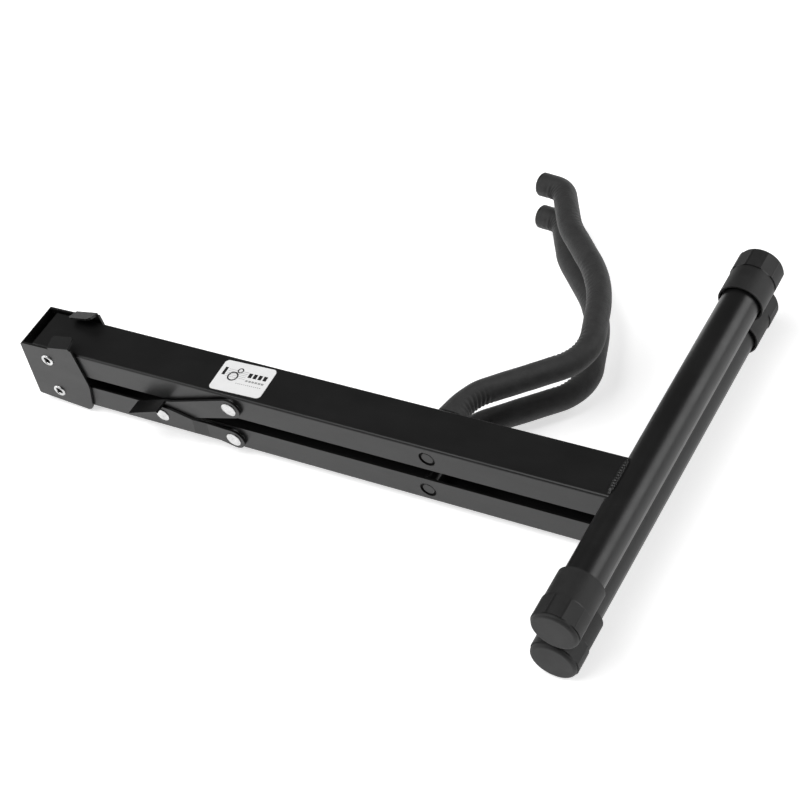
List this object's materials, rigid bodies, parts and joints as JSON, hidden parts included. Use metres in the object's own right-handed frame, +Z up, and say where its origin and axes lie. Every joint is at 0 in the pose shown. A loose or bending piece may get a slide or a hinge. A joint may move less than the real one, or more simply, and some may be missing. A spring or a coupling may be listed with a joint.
{
  "type": "folding guitar stand",
  "caption": "Folding A-frame guitar stand, folded flat: hinged channel legs with foam-padded arms, round foot tubes, ribbed rubber caps and a rear spreader.",
  "frame": {"origin": "middle of the folded stand's footprint, at the height of its lowest point", "axes": "+X from the hinge to the feet, +Y from the stand's back to its padded arms, +Z up through the two folded legs, right leg on top"},
  "size_m": [0.4701, 0.3438, 0.0662],
  "materials": {
    "black_paint": "satin",
    "cap_rubber": "matte",
    "arm_foam": "matte",
    "bright_steel": "polished",
    "label_white": "gloss"
  },
  "bodies": {
    "left_leg": {"left_leg_channel": "black_paint", "left_foot_tube": "black_paint", "left_foot_weld": "black_paint", "left_foot_cap_rear": "cap_rubber", "left_foot_cap_front": "cap_rubber", "left_arm_rod": "black_paint", "left_arm_collar": "black_paint", "left_arm_foam": "arm_foam", "left_arm_plug": "arm_foam", "left_spreader_washer": "bright_steel", "left_spreader_rivet_tail": "bright_steel"},
    "bracket": {"hinge_bracket": "black_paint", "right_hinge_pin": "bright_steel", "left_hinge_pin": "bright_steel"},
    "right_leg": {"right_leg_channel": "black_paint", "right_foot_tube": "black_paint", "right_foot_weld": "black_paint", "right_foot_cap_rear": "cap_rubber", "right_foot_cap_front": "cap_rubber", "right_arm_rod": "black_paint", "right_arm_collar": "black_paint", "right_arm_foam": "arm_foam", "right_arm_plug": "arm_foam", "right_spreader_washer": "bright_steel", "right_spreader_rivet": "bright_steel", "label": "label_white"},
    "upper_link": {"spreader_upper_link": "black_paint", "elbow_rivet": "bright_steel"},
    "lower_link": {"spreader_lower_link": "black_paint", "left_spreader_rivet_head": "bright_steel"}
  },
  "joints": [
    {"name": "bracket_hinge", "type": "hinge", "parent": "left_leg", "child": "bracket", "pos_m": [-0.21415, -0.06537, 0.0154], "axis": [0, -1, 0], "range_deg": [0, 23]},
    {"name": "right_leg_hinge", "type": "hinge", "parent": "bracket", "child": "right_leg", "pos_m": [-0.21087, -0.06537, 0.04663], "axis": [0, -1, 0], "range_deg": [0, 11]},
    {"name": "upper_link_pivot", "type": "hinge", "parent": "right_leg", "child": "upper_link", "pos_m": [-0.05857, -0.06537, 0.04663], "axis": [0, -1, 0], "range_deg": [0, 50.94]},
    {"name": "elbow_pivot", "type": "hinge", "parent": "upper_link", "child": "lower_link", "pos_m": [-0.11936, -0.06537, 0.024], "axis": [0, 1, 0], "range_deg": [0, 150.52]}
  ],
  "couplings": [
    {"joint": "right_leg_hinge", "follows": "bracket_hinge", "ratio": 0.47826},
    {"joint": "upper_link_pivot", "follows": "bracket_hinge", "ratio": 2.2146},
    {"joint": "elbow_pivot", "follows": "bracket_hinge", "ratio": 6.5443}
  ]
}
